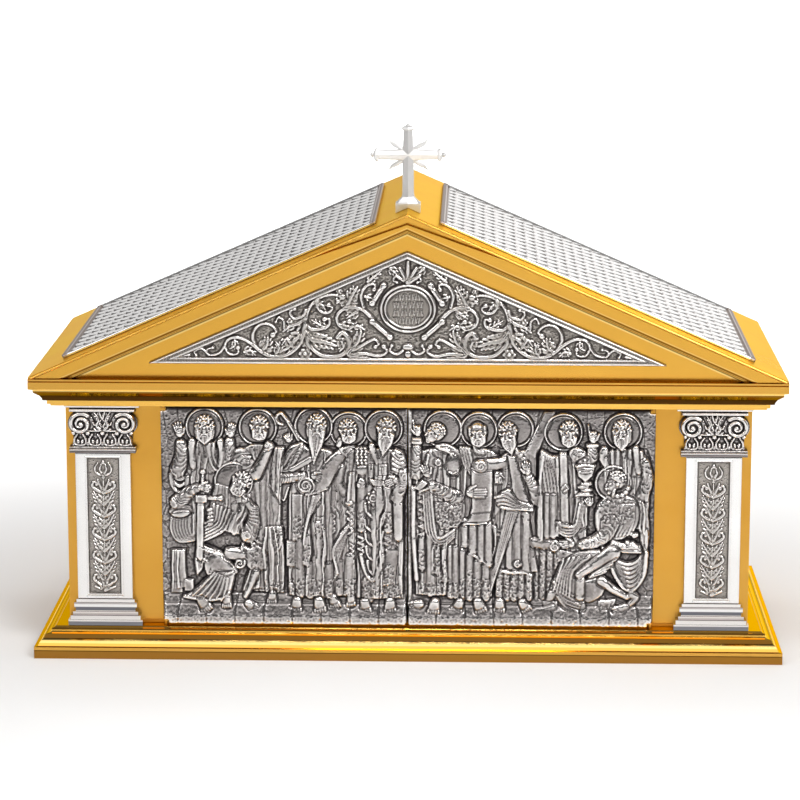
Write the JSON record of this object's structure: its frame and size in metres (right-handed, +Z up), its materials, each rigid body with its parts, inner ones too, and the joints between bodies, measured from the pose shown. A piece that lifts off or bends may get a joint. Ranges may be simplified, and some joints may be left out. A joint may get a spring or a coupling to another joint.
{
  "type": "altar tabernacle",
  "caption": "Temple-shaped altar tabernacle: gilded brass casket with silvered reliefs, a gabled tile roof, a ridge cross and two hinged doors.",
  "frame": {"origin": "middle of the underside of the base plinth", "axes": "+Z up, +X to the right of a person who faces the doors, -Y out of the doors"},
  "size_m": [0.72, 0.3, 0.5163],
  "materials": {
    "polished_gilding": "gilded brass, polished mouldings",
    "satin_gilding": "gilded brass sheet, satin brushed",
    "oxidised_silver": "silvered casting, dark in its recesses and bright on its high points",
    "polished_silver": "silvered, polished"
  },
  "bodies": {
    "root": {"base_plinth": "polished_gilding", "casket_floor": "satin_gilding", "casket_back": "satin_gilding", "casket_side_left": "satin_gilding", "casket_side_right": "satin_gilding", "casket_front_left": "satin_gilding", "casket_front_right": "satin_gilding", "casket_lintel": "satin_gilding", "casket_top": "satin_gilding", "cornice": "polished_gilding", "roof_plate": "satin_gilding", "roof_rope_front": "polished_gilding", "roof_rope_back": "polished_gilding", "front_pediment": "polished_gilding", "back_pediment": "satin_gilding", "tympanum_relief": "oxidised_silver", "cross": "polished_silver", "roof_tiles_left": "oxidised_silver", "roof_tiles_right": "oxidised_silver", "pilaster_base_left": "polished_silver", "pilaster_base_right": "polished_silver", "pilaster_shaft_left": "polished_silver", "pilaster_shaft_right": "polished_silver", "pilaster_capital_left": "oxidised_silver", "pilaster_capital_right": "oxidised_silver"},
    "left_door": {"door_leaf_left": "satin_gilding", "door_relief_left": "oxidised_silver"},
    "right_door": {"door_leaf_right": "satin_gilding", "door_relief_right": "oxidised_silver"}
  },
  "joints": [
    {"name": "left_door_hinge", "type": "hinge", "parent": "root", "child": "left_door", "pos_m": [-0.2345, -0.1235, 0.1375], "axis": [0, 0, -1], "range_deg": [0, 95]},
    {"name": "right_door_hinge", "type": "hinge", "parent": "root", "child": "right_door", "pos_m": [0.2345, -0.1235, 0.1375], "axis": [0, 0, 1], "range_deg": [0, 95]}
  ]
}
